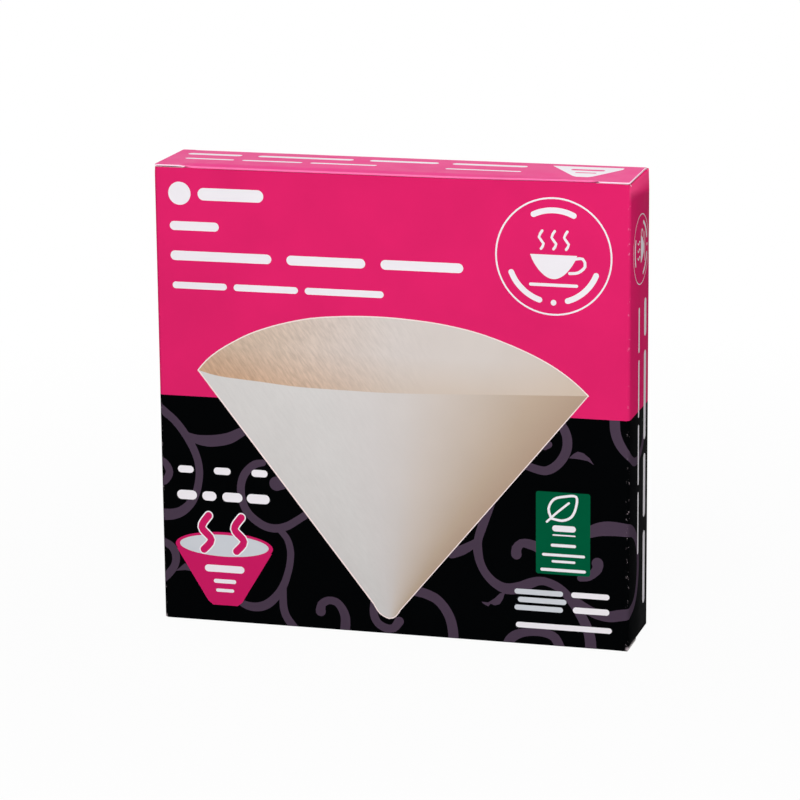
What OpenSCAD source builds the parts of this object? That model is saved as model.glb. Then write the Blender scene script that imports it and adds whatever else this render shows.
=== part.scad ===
// Reverse tuck-end folding carton with slit-lock lids, holding paper cone coffee filters.
// The filters are pressed flat and stand on edge, one behind the other. The carton is sized
// round them. Front is -Y, up is +Z, and the origin is under the middle of the base.

/* [Filters] */
// Radius of a filter pressed flat, from its tip to the open rim
filter_r = 150; // [110:1:180]
// Width of the crimped tab outside the side seam
seam_tab_w = 8; // [5:0.5:12]
// Corner trimmed off the tab beside the tip
tip_trim = 5; // [3:0.5:8]
// How many filters stand in the carton
filter_count = 40; // [20:1:50]
// Thickness of one ply of creped paper
ply_t = 0.25; // [0.15:0.01:0.35]
// Slit between the two plies of a filter
ply_gap = 0.1; // [0.05:0.01:0.2]
// Plies joined along the folded edge, measured from the fold
fold_w = 0.4; // [0.2:0.1:1]
// Space between one filter and the next
filter_gap = 0.08; // [0.04:0.01:0.2]
// How far a filter lies out of line with the rest, each way
filter_stray = 0.8; // [0:0.1:1.5]

/* [Carton] */
// Thickness of the folding boxboard
board_t = 0.5; // [0.35:0.05:0.7]
// Outer radius of the four upright creases
corner_r = 1.4; // [1:0.1:2.5]
// Outer radius of the creases of the dust flaps
flap_crease_r = 1; // [0.8:0.1:1.5]
// How far a dust flap's crease ends short of the upright creases
crease_short = 0.3; // [0.1:0.1:1]
// Free width beside the filters, left and right together
side_room = 11; // [8:0.5:30]
// Free height above the filters
head_room = 12.7; // [8:0.1:30]
// Width of the glued seam flap
seam_flap_w = 14; // [10:0.5:20]
// How far the seam flap ends short of the dust flaps
seam_flap_short = 3; // [2:0.5:10]
// Thickness of the glue between the seam flap and the left panel
glue_t = 0.05; // [0.02:0.01:0.1]
// Cut edge of the side panel, back from the rear face
seam_inset = 0.3; // [0.1:0.1:1]

/* [Closures] */
// Length of a tuck flap from its crease to its free edge
tuck_len = 13; // [8:0.5:14]
// Angle by which a tuck flap leans away from the wall
tuck_lean = 3; // [2.5:0.1:5]
// Radius of a tuck flap's two free corners
tuck_corner_r = 9; // [3:0.5:10]
// Length of the slit at each end of a tuck flap's crease
slit_len = 11; // [6:0.5:20]
// Radius of the two front corners of a lid's slit-lock ear
ear_corner_r = 0.8; // [0.3:0.1:1]
// Height of the opening that the slit leaves over the tuck flap's shoulder
slit_w = 0.8; // [0.5:0.1:2]
// Length of a dust flap from the side wall
dust_len = 31; // [20:0.5:45]
// Radius of a dust flap's corner beside the tuck flap
dust_corner_r = 10; // [3:0.5:12]
// Radius of a dust flap's corner beside the lid's crease
dust_back_r = 3; // [1:0.5:8]

/* [Clearances] */
// Between sheets of board that lie on each other
board_gap = 0.1; // [0.05:0.01:0.3]
// Between a tuck flap and the wall that it slides behind
tuck_gap = 0.25; // [0.2:0.01:0.5]
// Between the filters and what slides past them
stack_gap = 0.3; // [0.2:0.05:1]
// Between a lid's slit-lock ears and the wall under them
ear_gap = 0.3; // [0.1:0.05:0.8]
// Between a crease's bead and the wall that it turns on
crease_gap = 0.05; // [0.02:0.01:0.1]
// Between a tuck flap's shoulder and the side wall
shoulder_gap = 1.5; // [1:0.1:3]
// Between a lid's side edge and the outer face of the carton
lid_inset = 0.3; // [0:0.1:1]

/* [Hidden] */
$fn = 96;
overlap = 0.02; // solids of one sheet run this far into each other
filter_pitch = 2 * ply_t + ply_gap + filter_gap;
stack_d = filter_count * filter_pitch;
// depth taken by a tuck flap that leans off its wall
tuck_room = tuck_gap + board_t + tuck_len * sin(tuck_lean) + stack_gap;
// height of a lid and the dust flaps under it
closure_h = 2 * board_t + board_gap;
carton_w = filter_r + seam_tab_w + side_room + 2 * board_t;
carton_d = 2 * board_t + 2 * tuck_room + stack_d;
carton_h = 2 * closure_h + board_gap + filter_r + head_room;
half_w = carton_w / 2;
half_d = carton_d / 2;
// the upper closure's two turning axes: the lid's is in the middle of the rear wall,
// the tuck flap's runs along the inner face of the fold
lid_axis_y = half_d - board_t / 2;
lid_axis_z = carton_h - board_t / 2;
tuck_axis_y = -half_d + 2 * board_t + tuck_gap;
tuck_axis_z = carton_h - board_t;
tuck_half_w = half_w - board_t - shoulder_gap;
lid_half_w = half_w - lid_inset;
slit_end_x = lid_half_w - slit_len;
dust_top_z = carton_h - board_t - board_gap;
side_top_z = dust_top_z - flap_crease_r;
// the rear panel ends here, where it bends inside the left panel to become the seam flap
rear_left_x = -half_w + board_t + glue_t + corner_r;
tip_x = -(filter_r - seam_tab_w) / 2;
board_white = [0.93, 0.93, 0.91];
pink = [0.86, 0.13, 0.4];
black = [0.03, 0.03, 0.04];
crepe = [0.84, 0.74, 0.6];
digits = "0123456789";
function filter_name(i) = str("filter_", digits[floor(i / 10)], digits[i % 10]);
// neighbours stray by different amounts, as filters dropped into a carton do
function stray(i) = filter_stray * sin(i * 137.5);
FILTERS = [for (i = [1:filter_count]) filter_name(i)];

// A section drawn in X and Z, extruded from y0 to y1
module along_y(y0, y1) {
    translate([0, y1, 0]) rotate([90, 0, 0]) linear_extrude(y1 - y0) children();
}

// A section drawn in Y and Z, extruded from x0 to x1
module along_x(x0, x1) {
    translate([x0, 0, 0]) rotate([90, 0, 90]) linear_extrude(x1 - x0) children();
}

// The upper closure turned over to the lower end, where it is hinged on the front
module turned_over() {
    translate([0, 0, carton_h]) rotate([180, 0, 0]) children();
}

// Board bent through a right angle: a quarter of a ring with its hollow side at the origin
module bend(outer_r) {
    intersection() {
        difference() {
            circle(outer_r);
            circle(outer_r - board_t);
        }
        square(outer_r);
    }
}

// What rounding takes off a square corner that points away from the origin
module corner_waste(r) {
    difference() {
        square(2 * r);
        circle(r);
    }
}

// A panel that starts at the Y axis and has its two far corners rounded
module rounded_panel(len, wide, r_low, r_high) {
    difference() {
        square([len, wide]);
        translate([len - r_low, r_low]) rotate(-90) corner_waste(r_low);
        translate([len - r_high, wide - r_high]) corner_waste(r_high);
    }
}

// The wrapped sheet seen from above: it starts at the cut edge of the left panel, runs round
// the front, right and rear panels and ends where it bends inside the left panel
module wrapped_sheet() {
    translate([-half_w, -half_d + corner_r]) square([board_t, carton_d - corner_r - seam_inset]);
    translate([-half_w + corner_r, -half_d + corner_r]) rotate(180) bend(corner_r);
    translate([-half_w + corner_r, -half_d]) square([carton_w - 2 * corner_r, board_t]);
    translate([half_w - corner_r, -half_d + corner_r]) rotate(270) bend(corner_r);
    translate([half_w - board_t, -half_d + corner_r]) square([board_t, carton_d - 2 * corner_r]);
    translate([half_w - corner_r, half_d - corner_r]) bend(corner_r);
    translate([rear_left_x, half_d - board_t]) square([half_w - corner_r - rear_left_x, board_t]);
    translate([rear_left_x, half_d - corner_r]) rotate(90) bend(corner_r);
}

// What the front or rear panel adds above the creases of the dust flaps
module edge_strip(left_x, front_y, top_z) {
    translate([left_x, front_y, side_top_z - overlap])
        cube([half_w - corner_r - left_x, board_t, top_z - side_top_z + overlap]);
}

module walls() {
    under_ear_z = carton_h - board_t - ear_gap;
    under_bead_z = carton_h - board_t - crease_gap;
    translate([0, 0, carton_h - side_top_z])
        linear_extrude(2 * side_top_z - carton_h) wrapped_sheet();
    edge_strip(-half_w + corner_r, -half_d, under_ear_z);
    edge_strip(rear_left_x, half_d - board_t, under_bead_z);
    turned_over() edge_strip(rear_left_x, -half_d, under_ear_z);
    turned_over() edge_strip(-half_w + corner_r, half_d - board_t, under_bead_z);
}

// The seam flap, glued inside the left panel, with its ends cut on a slant
module seam_flap() {
    end_z = carton_h - dust_top_z + seam_flap_short;
    slant = seam_flap_w / 4;
    root_y = half_d - corner_r;
    along_x(-half_w + board_t - overlap, -half_w + 2 * board_t + glue_t)
        polygon([
            [root_y + overlap, end_z], [root_y + overlap, carton_h - end_z],
            [root_y - seam_flap_w, carton_h - end_z - slant], [root_y - seam_flap_w, end_z + slant]
        ]);
}

// The right-hand upper dust flap: its crease on the side wall and its flat leaf
module dust_flap() {
    bend_x = half_w - flap_crease_r;
    crease_end_y = half_d - corner_r - crease_short;
    along_y(-crease_end_y, crease_end_y)
        translate([bend_x, dust_top_z - flap_crease_r]) bend(flap_crease_r);
    leaf_front_y = -half_d + board_t + tuck_room;
    leaf_rear_y = half_d - board_t - stack_gap;
    translate([bend_x + overlap, leaf_front_y, dust_top_z - board_t])
        linear_extrude(board_t)
            mirror([1, 0])
                rounded_panel(dust_len - flap_crease_r, leaf_rear_y - leaf_front_y,
                              dust_corner_r, dust_back_r);
}

module carton() {
    color(black) union() {
        walls();
        seam_flap();
        for (side = [0, 1]) mirror([side, 0, 0]) {
            dust_flap();
            turned_over() dust_flap();
        }
    }
}

// A lid: the closure panel, its hinge bead over the rear wall, the rounded nose of its front
// crease between the slits, and an ear outside each slit that lies on the front wall
module lid() {
    panel_rear_y = lid_axis_y;
    translate([-lid_half_w, tuck_axis_y, carton_h - board_t])
        cube([2 * lid_half_w, panel_rear_y - tuck_axis_y, board_t]);
    along_x(-lid_half_w, lid_half_w) translate([lid_axis_y, lid_axis_z]) circle(board_t / 2);
    along_x(-slit_end_x, slit_end_x) translate([tuck_axis_y, tuck_axis_z])
        intersection() {
            circle(board_t);
            translate([-board_t, 0]) square(board_t + overlap);
        }
    for (side = [0, 1]) mirror([side, 0, 0])
        translate([slit_end_x, tuck_axis_y + overlap, carton_h - board_t])
            linear_extrude(board_t)
                rotate(-90)
                    rounded_panel(tuck_axis_y + overlap + half_d, slit_len, ear_corner_r, ear_corner_r);
}

// A tuck flap: it hangs from the nose of the lid's crease, and its shoulders reach out below
// the slits
module tuck_flap() {
    translate([0, tuck_axis_y, tuck_axis_z]) rotate([tuck_lean, 0, 0])
        translate([0, -board_t, 0]) {
            translate([-slit_end_x, 0, -slit_w - overlap])
                cube([2 * slit_end_x, board_t, slit_w + overlap - crease_gap]);
            translate([0, board_t, -slit_w]) rotate([90, 0, 0]) linear_extrude(board_t)
                rotate(-90) translate([0, -tuck_half_w])
                    rounded_panel(tuck_len - slit_w, 2 * tuck_half_w, tuck_corner_r, tuck_corner_r);
        }
}

module top_lid() {
    color(pink) lid();
}

module top_tuck_flap() {
    color(pink) tuck_flap();
}

module bottom_lid() {
    color(black) turned_over() lid();
}

module bottom_tuck_flap() {
    color(board_white) turned_over() tuck_flap();
}

// Outline of a filter pressed flat: a quarter disc from its tip, with the seam tab beside it
module filter_outline() {
    intersection() {
        circle(filter_r);
        square(filter_r);
    }
    polygon([
        [overlap, 0], [overlap, filter_r - overlap], [-seam_tab_w, filter_r - overlap],
        [-seam_tab_w, tip_trim]
    ]);
}

// The hollow between the plies, closed at the fold and at the seam, open along the rim
module filter_hollow() {
    intersection() {
        circle(filter_r + 1);
        translate([0, fold_w]) square(filter_r + 1);
    }
}

// Filter number i, counted from the front, standing on its fold on the lower dust flaps
module paper_filter(i) {
    front_y = -half_d + board_t + tuck_room + (i - 1) * filter_pitch;
    color(crepe)
        translate([tip_x + stray(i), 0, closure_h + board_gap])
            difference() {
                along_y(front_y, front_y + filter_pitch - filter_gap) filter_outline();
                along_y(front_y + ply_t, front_y + ply_t + ply_gap) filter_hollow();
            }
}

carton();
top_lid();
top_tuck_flap();
bottom_lid();
bottom_tuck_flap();
for (i = [1:filter_count])
    paper_filter(i);
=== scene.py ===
"""Looks of the folding carton of paper coffee filters.

Each board piece is one sheet: its flat outline and its print are laid out in millimetres,
cut into triangles together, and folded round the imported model. The print is made of fields of
colour and simple shapes that are faces of the sheet, each with a procedural material.
Millimetres are used throughout and become metres where a mesh is made.
"""
import math

import bpy
import numpy as np
from mathutils import Matrix, Vector
from mathutils.geometry import delaunay_2d_cdt


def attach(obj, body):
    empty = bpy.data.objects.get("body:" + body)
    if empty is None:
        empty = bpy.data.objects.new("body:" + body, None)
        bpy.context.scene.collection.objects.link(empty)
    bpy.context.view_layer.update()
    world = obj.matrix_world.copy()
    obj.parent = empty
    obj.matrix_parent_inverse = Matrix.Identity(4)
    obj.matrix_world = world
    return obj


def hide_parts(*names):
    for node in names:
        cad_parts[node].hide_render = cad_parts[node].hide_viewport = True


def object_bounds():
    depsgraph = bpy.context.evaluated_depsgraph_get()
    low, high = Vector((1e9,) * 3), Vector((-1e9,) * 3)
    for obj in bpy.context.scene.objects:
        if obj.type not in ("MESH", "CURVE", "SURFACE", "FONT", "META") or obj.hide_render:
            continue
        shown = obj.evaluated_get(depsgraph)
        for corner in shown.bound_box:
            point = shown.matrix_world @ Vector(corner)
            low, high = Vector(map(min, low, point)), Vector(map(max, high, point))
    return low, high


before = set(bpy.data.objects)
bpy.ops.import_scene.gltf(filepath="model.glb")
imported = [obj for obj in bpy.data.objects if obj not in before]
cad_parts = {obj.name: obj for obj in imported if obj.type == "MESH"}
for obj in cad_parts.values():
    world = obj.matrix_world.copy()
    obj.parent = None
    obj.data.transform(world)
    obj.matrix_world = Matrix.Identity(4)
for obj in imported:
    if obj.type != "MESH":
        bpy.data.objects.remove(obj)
cad_low, cad_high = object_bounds()

MM = 0.001

# Sizes of the board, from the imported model
WIDE = (cad_high.x - cad_low.x) / MM
DEEP = (cad_high.y - cad_low.y) / MM
TALL = (cad_high.z - cad_low.z) / MM
HALF_W = WIDE / 2
HALF_D = DEEP / 2
BOARD = 0.5
CORNER_R = 1.4
GLUE = 0.05
SEAM_INSET = 0.3
SEAM_FLAP = 14.0
SEAM_SHORT = 4.2
CREASE_R = 1.0
CREASE_SHORT = 0.3
SIDE_TOP = TALL - BOARD - 0.1 - CREASE_R
DUST_LEN = 31.0
DUST_CORNER = 10.0
DUST_BACK = 3.0
TUCK_ROOM = 1.7304
STACK_GAP = 0.3
LID_HALF_W = 84.7
# The upper lid is cut slightly askew, narrower at the right end of its hinge
LID_ASKEW = 0.9
SLIT_END = 73.7
SLIT_WIDE = 0.12
LID_AXIS_Y = HALF_D - BOARD / 2
TUCK_AXIS_Y = -HALF_D + 2 * BOARD + 0.25
TUCK_HALF_W = 83.0
TUCK_LEN = 13.0
TUCK_LEAN = math.radians(3.0)
TUCK_CORNER = 9.0
SLIT_OPEN = 0.8
# How far behind the lid's fold its inner face can be seen with the lid open
FOLD_INSIDE = 0.6
# The front and rear panels run this close to the plane of the lid that is hinged on them
CREASE_END = 0.3
# The fold between the slits lies this far below the ears
NOSE_DROP = 0.6
# That drop fades out towards the ears: where it ends at the right and at the left, over what
# length, and how far behind the front it begins
DROP_RIGHT = 74.0
DROP_RIGHT_RUN = 60.0
DROP_LEFT = 75.6
DROP_LEFT_RUN = 3.4
DROP_BACK = 5.6
DROP_BACK_RUN = 5.2
# The upper lid dips this much at its rear crease, from its left end on
REAR_DIP = 0.1
REAR_DIP_LEFT = 80.6
REAR_DIP_BACK = 2.4
REAR_DIP_RUN = 2.2
# A side panel bends towards its upper dust flap from here up, at its front and at its rear
BEND_FRONT = 161.8
BEND_REAR = 157.0
BEND_IN = 0.2
# How much the bent side's shading leans up, how far below the bend it starts and how fast it grows
ROLL_LEAN = 0.9
ROLL_BELOW = 1.2
ROLL_RUN = 2.6
# How much a side's shading leans back, as if the panel bulged
BULGE_LEAN = 0.2
# Share of the depth by which the broad faces are drawn in at most, and how high that is
DRAWN_IN = 0.016
DRAWN_IN_AT = 0.55

# Where the print changes from bright to dark, above the base
FIELD_Z = 82.4


def smooth(t):
    """0 below 0, 1 above 1, and an even S-curve between"""
    t = min(max(t, 0.0), 1.0)
    return t * t * (3 - 2 * t)


# Materials

def linear(r, g, b):
    """A colour written in 0 to 255 display values, as linear light"""
    out = []
    for c in (r, g, b):
        c = c / 255
        out.append(c / 12.92 if c <= 0.04045 else ((c + 0.055) / 1.055) ** 2.4)
    return (*out, 1.0)


class Nodes:
    """A material's node tree, with one short call for each node"""

    def __init__(self, name):
        self.material = bpy.data.materials.new(name)
        self.material.use_nodes = True
        self.tree = self.material.node_tree
        self.shader = self.tree.nodes["Principled BSDF"]
        self.object_coords = self.add("ShaderNodeTexCoord").outputs["Object"]

    def add(self, kind, **settings):
        node = self.tree.nodes.new(kind)
        for key, value in settings.items():
            setattr(node, key, value)
        return node

    def feed(self, socket, value):
        if isinstance(value, bpy.types.NodeSocket):
            self.tree.links.new(value, socket)
        else:
            socket.default_value = value

    def math(self, operation, *values):
        node = self.add("ShaderNodeMath", operation=operation)
        for i, value in enumerate(values):
            self.feed(node.inputs[i], value)
        return node.outputs[0]

    def noise(self, scale, detail=3.0, rough=0.5, stretch=None, lean=0.0):
        """Noise from 0 to 1, with scale in features per metre, drawn out and leaning sideways"""
        node = self.add("ShaderNodeTexNoise")
        coords = self.object_coords
        if stretch:
            mapping = self.add("ShaderNodeMapping", vector_type="TEXTURE")
            mapping.inputs["Rotation"].default_value = (0, lean, 0)
            mapping.inputs["Scale"].default_value = [1 / part for part in stretch]
            self.feed(mapping.inputs["Vector"], coords)
            coords = mapping.outputs[0]
        self.feed(node.inputs["Vector"], coords)
        node.inputs["Scale"].default_value = scale
        node.inputs["Detail"].default_value = detail
        node.inputs["Roughness"].default_value = rough
        return node.outputs["Fac"]

    def remap(self, value, low, high, to_low=0.0, to_high=1.0):
        node = self.add("ShaderNodeMapRange")
        self.feed(node.inputs["Value"], value)
        keys = ("From Min", "From Max", "To Min", "To Max")
        for key, number in zip(keys, (low, high, to_low, to_high)):
            node.inputs[key].default_value = number
        return node.outputs[0]

    def mix(self, factor, a, b, blend="MIX"):
        node = self.add("ShaderNodeMix", data_type="RGBA", blend_type=blend)
        self.feed(node.inputs["Factor"], factor)
        self.feed(node.inputs["A"], a)
        self.feed(node.inputs["B"], b)
        return node.outputs["Result"]

    def ramp(self, value, stops):
        node = self.add("ShaderNodeValToRGB")
        ramp = node.color_ramp
        while len(ramp.elements) < len(stops):
            ramp.elements.new(0.5)
        for element, (place, colour) in zip(ramp.elements, stops):
            element.position = place
            element.color = colour
        self.feed(node.inputs["Fac"], value)
        return node.outputs["Color"]

    def axes(self):
        node = self.add("ShaderNodeSeparateXYZ")
        self.feed(node.inputs[0], self.object_coords)
        return node.outputs

    def bump(self, height, strength, distance):
        node = self.add("ShaderNodeBump")
        node.inputs["Strength"].default_value = strength
        node.inputs["Distance"].default_value = distance
        self.feed(node.inputs["Height"], height)
        self.feed(self.shader.inputs["Normal"], node.outputs[0])

    def finish(self, colour, rough, level):
        self.feed(self.shader.inputs["Base Color"], colour)
        self.feed(self.shader.inputs["Roughness"], rough)
        self.shader.inputs["Specular IOR Level"].default_value = level
        return self.material


def coated_board(name, colour, rough=0.45, level=0.0005, mottle=0.04, worn=None, roll_highlight=None):
    """Ink on coated board: faint mottling, a fine orange peel, rubbed upright creases and foot
    corners, and a painted highlight: a paler colour where the side panels roll over at their top"""
    n = Nodes(name)
    cloud = n.remap(n.noise(45.0, 4.0), 0.3, 0.7, 1 - mottle, 1 + mottle)
    tone = n.mix(1.0, colour, cloud, "MULTIPLY")
    if worn:
        x, y, z = n.axes()
        by_side = n.remap(n.math("ABSOLUTE", x), 0.0838, 0.0846)
        by_face = n.remap(n.math("ABSOLUTE", y), 0.0146, 0.0153)
        foot = n.remap(z, 0.0009, 0.0018, 1.0, 0.0)
        by_foot = n.math("MULTIPLY", foot, n.remap(y, -0.006, -0.002, 1.0, 0.0))
        rub = n.remap(n.noise(620.0, 5.0, 0.7), 0.6, 0.68)
        foot_rub = n.remap(n.noise(520.0, 4.0, 0.6), 0.4, 0.56, 0.1, 0.85)
        on_crease = n.math("MULTIPLY", by_face, rub)
        mask = n.math("MAXIMUM", on_crease, n.math("MULTIPLY", by_foot, foot_rub))
        tone = n.mix(n.math("MULTIPLY", by_side, mask), tone, worn)
    # painted highlight: the pink is made paler on the side panels' tops, where they roll over and catch
    # light
    if roll_highlight:
        x, _, z = n.axes()
        by_side = n.remap(n.math("ABSOLUTE", x), 0.0843, 0.0847)
        tone = n.mix(n.math("MULTIPLY", by_side, n.remap(z, 0.158, 0.1615)), tone, roll_highlight)
    n.bump(n.noise(1500.0, 2.0), 0.06, 0.00005)
    return n.finish(tone, n.remap(n.noise(120.0, 3.0), 0.3, 0.7, rough - 0.04, rough + 0.04), level)


def bare_board(name, colour, rough=0.85, fibre=(205, 200, 192), speck=0.25):
    """Uncoated or cut board, with fibres"""
    n = Nodes(name)
    fibres = n.noise(900.0, 5.0, 0.65, (1.0, 1.0, 0.35))
    specks = n.remap(n.noise(2400.0, 2.0), 0.68, 0.74)
    tone = n.mix(n.remap(fibres, 0.35, 0.65, 0.0, 0.35), colour, linear(*fibre))
    tone = n.mix(n.math("MULTIPLY", specks, speck), tone, linear(150, 142, 132))
    n.bump(fibres, 0.25, 0.0001)
    return n.finish(tone, rough, 0.25)


# The cone in the picture: its apex, and the half-width that it gains per unit of height
APEX_X = -0.0012
APEX_Z = 0.0015
SPREAD = 0.79
# The pictured crepe leans by this turn about the depth axis
RIB_LEAN = -0.64


def across_cone(n):
    """0 at the pictured cone's left edge and 1 at its right edge"""
    x, _, z = n.axes()
    height = n.math("MAXIMUM", n.math("SUBTRACT", z, APEX_Z), 0.004)
    slope = n.math("DIVIDE", n.math("SUBTRACT", x, APEX_X), height)
    return n.remap(slope, -SPREAD, SPREAD)


def pictured_paper(name, stops, crepe, rim_shade, foot_shade):
    """The printed picture's paper: a soft shade across and down the cone, and a creped grain"""
    n = Nodes(name)
    shade = n.ramp(across_cone(n), stops)
    _, _, z = n.axes()
    shade = n.mix(1.0, shade, n.remap(z, 0.005, 0.09, foot_shade, 1.0), "MULTIPLY")
    near_rim = n.remap(z, 0.088, 0.101, rim_shade, 0.0)
    from_left = n.remap(across_cone(n), 0.12, 0.55)
    rim_tone = n.mix(from_left, linear(200, 156, 122), linear(207, 188, 170))
    shade = n.mix(near_rim, shade, rim_tone)
    cloud = n.remap(n.noise(60.0, 4.0), 0.3, 0.7, 0.985, 1.015)
    ribs = n.noise(1300.0, 4.0, 0.6, (1.0, 1.0, 0.2), RIB_LEAN)
    ribs = n.remap(ribs, 0.34, 0.66, 1 - crepe, 1 + crepe)
    ribs = n.mix(n.remap(across_cone(n), 0.3, 0.62), ribs, (1.0, 1.0, 1.0, 1.0))
    shade = n.mix(1.0, shade, cloud, "MULTIPLY")
    shade = n.mix(1.0, shade, ribs, "MULTIPLY")
    n.bump(n.noise(1500.0, 2.0), 0.06, 0.00005)
    return n.finish(shade, 0.45, 0.0005)


def creped_paper(name):
    """Unbleached filter paper: fine creping ribs, fibres and flecks"""
    n = Nodes(name)
    ribs = n.noise(1700.0, 3.0, 0.6, (0.25, 1.0, 1.0))
    cloud = n.noise(70.0, 4.0, 0.6)
    flecks = n.remap(n.noise(2600.0, 3.0, 0.6), 0.66, 0.72)
    tone = n.mix(n.remap(cloud, 0.3, 0.7), linear(214, 188, 152), linear(226, 204, 172))
    tone = n.mix(n.remap(ribs, 0.3, 0.7, 0.0, 0.4), tone, linear(196, 166, 128))
    tone = n.mix(n.math("MULTIPLY", flecks, 0.35), tone, linear(150, 112, 76))
    n.bump(ribs, 0.5, 0.00018)
    return n.finish(tone, 0.92, 0.15)


SCUFF = linear(205, 190, 196)
MATERIALS = {
    # the pink carries a painted highlight on the side panels' rolled-over tops
    "pink": coated_board("print_pink", linear(224, 36, 105), worn=linear(238, 120, 165),
                         roll_highlight=linear(236, 66, 124)),
    # the lid's pink is a lighter, bluer copy of the pink: painted sheen of the lid seen at a glancing
    # angle, on top of its real specular level
    "lid_pink": coated_board("lid_print_with_painted_sheen", linear(226, 42, 130), level=0.13),
    # paler pink along the lid's fold: partly cracked ink, partly a painted highlight on the rounded
    # fold
    "crease_pink": coated_board("crease_print_worn_and_painted_highlight", linear(250, 112, 170), level=0.13),
    "black": coated_board("print_black", linear(4, 5, 6), worn=SCUFF),
    "scroll": coated_board("print_scroll", linear(73, 59, 75), worn=SCUFF),
    "white": coated_board("print_white", linear(240, 236, 241), mottle=0.02),
    "pale": coated_board("print_pale", linear(206, 210, 216), mottle=0.02),
    "green": coated_board("print_green", linear(2, 88, 57)),
    "icon_pink": coated_board("print_icon_pink", linear(203, 30, 98)),
    "cone_inside": pictured_paper("picture_inside", [
        (0.0, linear(199, 166, 140)), (0.13, linear(203, 178, 157)), (0.26, linear(209, 189, 173)),
        (0.39, linear(212, 198, 189)), (0.52, linear(215, 206, 201)), (0.72, linear(215, 206, 200)),
        (0.86, linear(212, 200, 191)), (1.0, linear(208, 190, 174))], 0.12, 0.62, 1.0),
    "cone_front": pictured_paper("picture_front", [
        (0.0, linear(214, 211, 209)), (0.3, linear(216, 213, 211)), (0.45, linear(215, 210, 208)),
        (0.55, linear(213, 206, 202)), (0.64, linear(210, 199, 191)), (0.76, linear(202, 187, 174)),
        (0.88, linear(192, 172, 153)), (1.0, linear(181, 157, 137))], 0.02, 0.0, 0.9),
    "cone_line": coated_board("picture_line", linear(246, 228, 226), mottle=0.02),
    "inner": bare_board("board_inside", linear(226, 224, 218)),
    "edge": bare_board("board_edge", linear(240, 236, 234), 0.8),
    "pink_edge": bare_board("board_edge_pink", linear(255, 214, 232), 0.8, (250, 196, 220), 0.0),
}


# Flat shapes

def disc(x, z, r, rz=None, steps=40):
    """A disc or an ellipse"""
    rz = rz or r
    return [(x + r * math.cos(2 * math.pi * i / steps), z + rz * math.sin(2 * math.pi * i / steps))
            for i in range(steps)]


def arc(x, z, r, start, end, steps=6):
    """Points along part of a circle, in degrees"""
    angles = [math.radians(start + (end - start) * i / steps) for i in range(steps + 1)]
    return [(x + r * math.cos(a), z + r * math.sin(a)) for a in angles]


def rect(x0, z0, x1, z1, r=0.0):
    """A rectangle, with rounded corners where r is given"""
    if not r:
        return [(x0, z0), (x1, z0), (x1, z1), (x0, z1)]
    corners = [(x1 - r, z0 + r, -90), (x1 - r, z1 - r, 0), (x0 + r, z1 - r, 90), (x0 + r, z0 + r, 180)]
    return [point for cx, cz, start in corners for point in arc(cx, cz, r, start, start + 90)]


def bar(x0, x1, z, h):
    """A rounded bar that stands for a word, centred on the height z"""
    return rect(x0, z - h / 2, x1, z + h / 2, min(h, x1 - x0) * 0.499)


def spline(points, step=1.1):
    """Points close together on a smooth curve through the given ones; widths go with them"""
    ends = [points[0], *points, points[-1]]
    out = []
    for i in range(1, len(ends) - 2):
        a, b, c, d = ends[i - 1:i + 3]
        pieces = max(2, round(math.dist(b[:2], c[:2]) / step))
        for k in range(pieces):
            t = k / pieces
            out.append(tuple(
                0.5 * (2 * q + (r - p) * t + (2 * p - 5 * q + 4 * r - s) * t * t
                       + (3 * q - p - 3 * r + s) * t ** 3)
                for p, q, r, s in zip(a, b, c, d)))
    out.append(points[-1])
    return out


def stroke(points, width=None, caps=True, step=1.1):
    """Quads along a smooth line, with a round disc at each end. A point is (x, z, width)."""
    if width:
        points = [(x, z, width) for x, z in points]
    line = spline(points, step)
    sides = []
    for i, (x, z, w) in enumerate(line):
        before, after = line[max(i - 1, 0)], line[min(i + 1, len(line) - 1)]
        dx, dz = after[0] - before[0], after[1] - before[1]
        size = math.hypot(dx, dz) or 1.0
        nx, nz = -dz / size * w / 2, dx / size * w / 2
        sides.append(((x + nx, z + nz), (x - nx, z - nz)))
    shapes = [[a[1], b[1], b[0], a[0]] for a, b in zip(sides, sides[1:])]
    if caps:
        shapes += [disc(x, z, w / 2, steps=20) for x, z, w in (line[0], line[-1])]
    return shapes


def ring(x, z, r, width, steps=72):
    """A round line"""
    out = []
    for i in range(steps):
        a, b = 2 * math.pi * i / steps, 2 * math.pi * (i + 1) / steps
        inner, outer = r - width / 2, r + width / 2
        out.append([(x + q * math.cos(t), z + q * math.sin(t))
                    for q, t in ((inner, a), (outer, a), (outer, b), (inner, b))])
    return out


def arc_bar(x, z, r, start, end, width):
    """A thick line along part of a circle, in degrees"""
    steps = max(4, round(abs(end - start) / 6))
    return stroke(arc(x, z, r, start, end, steps), width)


def moved(shapes, place):
    """Shapes with each point put through place"""
    return [[place(x, z) for x, z in shape] for shape in shapes]


def cup_badge(size=1.0):
    """A generic badge round the origin: a ring, arc bars and a steaming cup"""
    shapes = ring(0, 0, 20.2, 0.6)
    shapes += arc_bar(0, 0, 16.0, 64, 116, 2.0)
    shapes += arc_bar(0, 0, 16.0, 202, 252, 2.0)
    shapes += arc_bar(0, 0, 16.0, 288, 338, 2.0)
    shapes.append(disc(0, -16.0, 1.0, steps=16))
    # the cup's bowl, from its left lip round to its right lip
    shapes.append([(-8.2 + 16.4 * (i / 24), 0.6 - 8.4 * math.sin(math.pi * i / 24) ** 0.75)
                   for i in range(25)])
    shapes += stroke([(7.2, -0.6), (10.2, -0.4), (11.0, -3.0), (8.6, -5.2), (5.6, -5.6)], 1.0)
    shapes.append(bar(-8.6, 8.6, -9.9, 1.1))
    for x in (-4.4, 0.0, 4.4):
        shapes += stroke([(x, 2.6), (x + 0.9, 4.4), (x - 0.7, 6.6), (x + 0.4, 8.8)], 0.9)
    return moved(shapes, lambda x, z: (x * size, z * size))


# Print on the carton

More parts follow.
